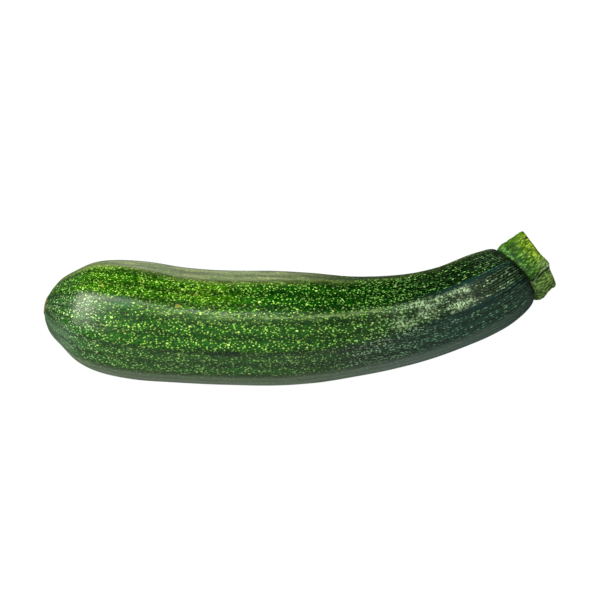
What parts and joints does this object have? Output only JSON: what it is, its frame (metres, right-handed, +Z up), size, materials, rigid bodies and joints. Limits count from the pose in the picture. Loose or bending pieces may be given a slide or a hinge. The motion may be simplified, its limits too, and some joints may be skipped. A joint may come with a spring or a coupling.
{
  "type": "courgette",
  "caption": "Whole courgette lying on its side: a long ridged fruit, thicker at the blossom end and bent towards the cut stub of its stem.",
  "frame": {"origin": "on the table, under the middle of the object's box", "axes": "+X along the fruit towards the stem, +Y the side that both ends bend to, +Z up from the table"},
  "size_m": [0.2018, 0.0628, 0.0456],
  "materials": {
    "skin": "waxy green skin, densely flecked with pale green, soft gloss",
    "stem": "rough yellow-green rind with pale bumps, paler on the cut"
  },
  "bodies": {
    "root": {"fruit": "skin", "stem": "stem"}
  },
  "joints": []
}
